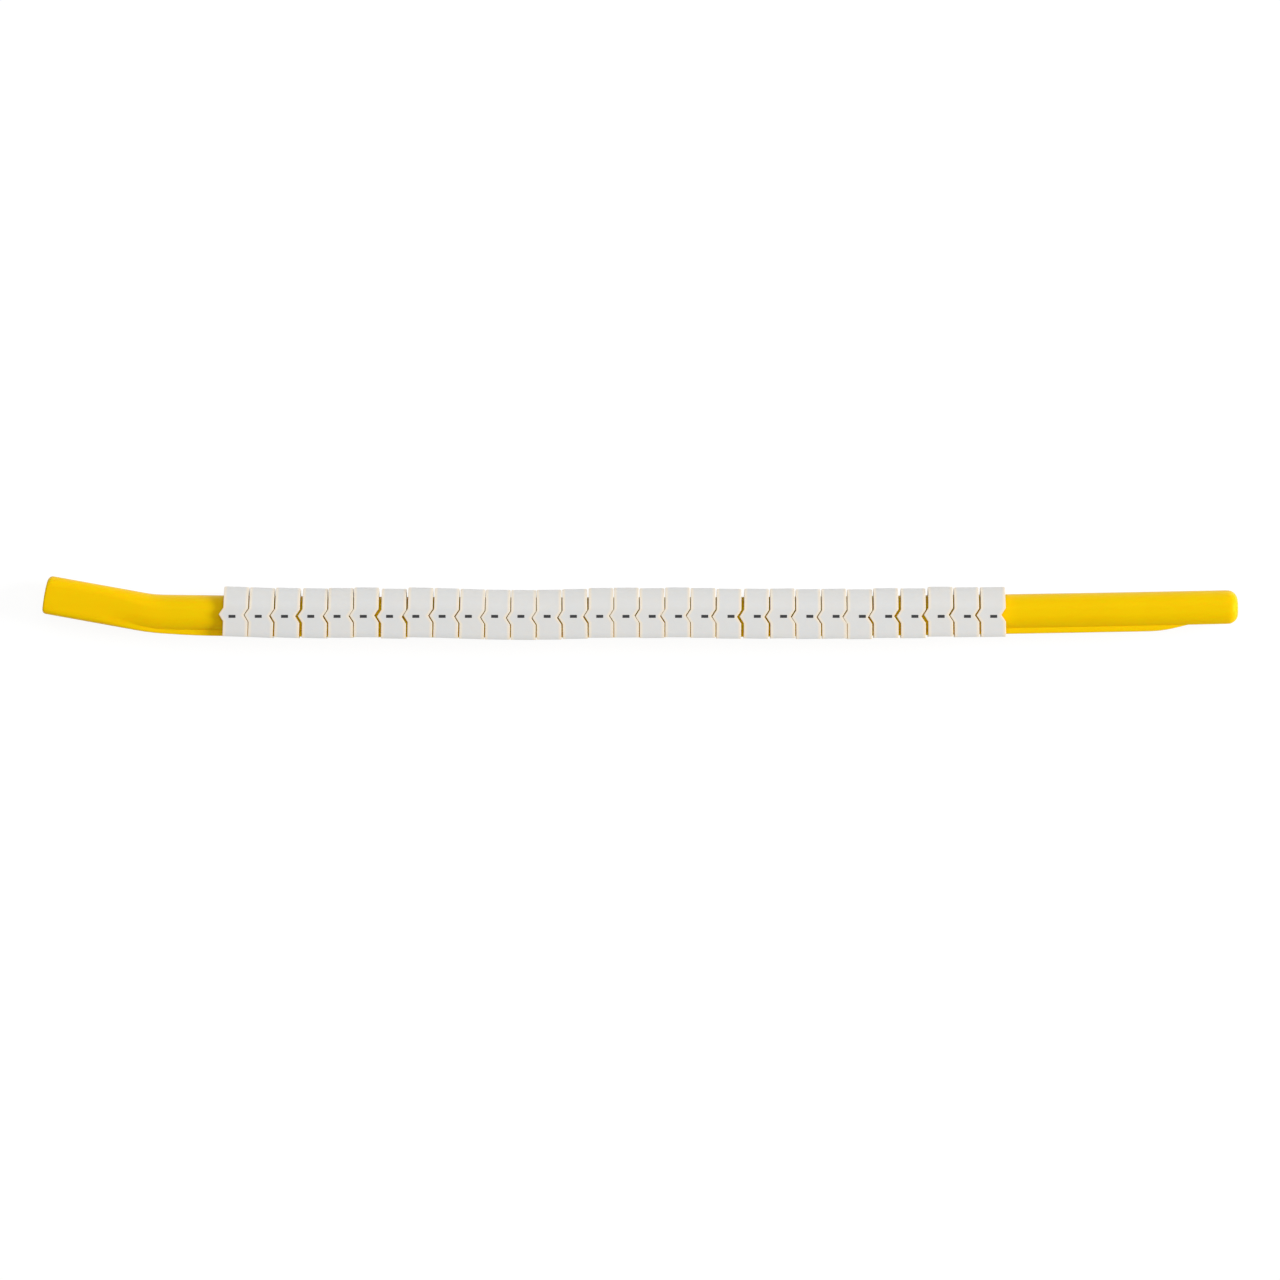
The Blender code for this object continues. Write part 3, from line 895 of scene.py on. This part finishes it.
def makeFloor(values):
    bm = bmesh.new()
    bmesh.ops.create_grid(bm, x_segments=1, y_segments=1, size=values["size"] / 2)
    material, nodes, links, shader = newMaterial("paleFloor")
    shader.inputs["Base Color"].default_value = (*values["colour"], 1.0)
    shader.inputs["Roughness"].default_value = values["roughness"]
    shader.inputs["Specular IOR Level"].default_value = 0.0
    glow = nodes.new("ShaderNodeEmission")
    glow.inputs["Strength"].default_value = values["glow"]
    path = nodes.new("ShaderNodeLightPath")
    seen = path.outputs["Is Camera Ray"]
    for label in ("Is Glossy Ray", "Is Transmission Ray"):
        either = nodes.new("ShaderNodeMath")
        either.operation = "MAXIMUM"
        links.new(seen, either.inputs[0])
        links.new(path.outputs[label], either.inputs[1])
        seen = either.outputs[0]
    share = nodes.new("ShaderNodeMath")
    share.operation = "MULTIPLY"
    share.inputs[1].default_value = values["glowShare"]
    links.new(seen, share.inputs[0])
    both = nodes.new("ShaderNodeMixShader")
    links.new(share.outputs[0], both.inputs["Fac"])
    links.new(shader.outputs["BSDF"], both.inputs[1])
    links.new(glow.outputs["Emission"], both.inputs[2])
    links.new(both.outputs["Shader"], nodes["Material Output"].inputs["Surface"])
    floor = meshObject("floor", bm, material)
    floor.location = (0.0, 0.0, cadBox[0][2] - values["gap"])


studio = {
    "worldLevel": 0.36,            # the surroundings as a light, and as the camera sees them
    "worldSeen": 1.0,
    "overhead": {"place": (0.0, 0.45, 1.10), "size": 1.0, "power": 3.4},
    "rightLight": {"place": (2.60, 0.30, 1.52), "size": 1.1, "power": 80.0},
}


def areaLight(name, values):
    light = bpy.data.lights.new(name, "AREA")
    light.shape = "SQUARE"
    light.size = values["size"]
    light.energy = values["power"]
    made = bpy.data.objects.new(name, light)
    scene.collection.objects.link(made)
    made.location = values["place"]
    made.rotation_euler = Vector(values["place"]).to_track_quat("Z", "Y").to_euler()


def makeStudio(values):
    world = bpy.data.worlds.new("studio")
    scene.world = world
    world.use_nodes = True
    nodes, links = world.node_tree.nodes, world.node_tree.links
    background = nodes["Background"]
    background.inputs["Color"].default_value = (1.0, 1.0, 1.0, 1.0)
    path = nodes.new("ShaderNodeLightPath")
    level = nodes.new("ShaderNodeMapRange")
    level.inputs["To Min"].default_value = values["worldLevel"]
    level.inputs["To Max"].default_value = values["worldSeen"]
    links.new(path.outputs["Is Camera Ray"], level.inputs["Value"])
    links.new(level.outputs["Result"], background.inputs["Strength"])
    areaLight("overhead", values["overhead"])
    areaLight("rightLight", values["rightLight"])


makeCamera(viewPoint)
makeFloor(floorLook)
makeStudio(studio)
print("stage: camera, floor and light set")
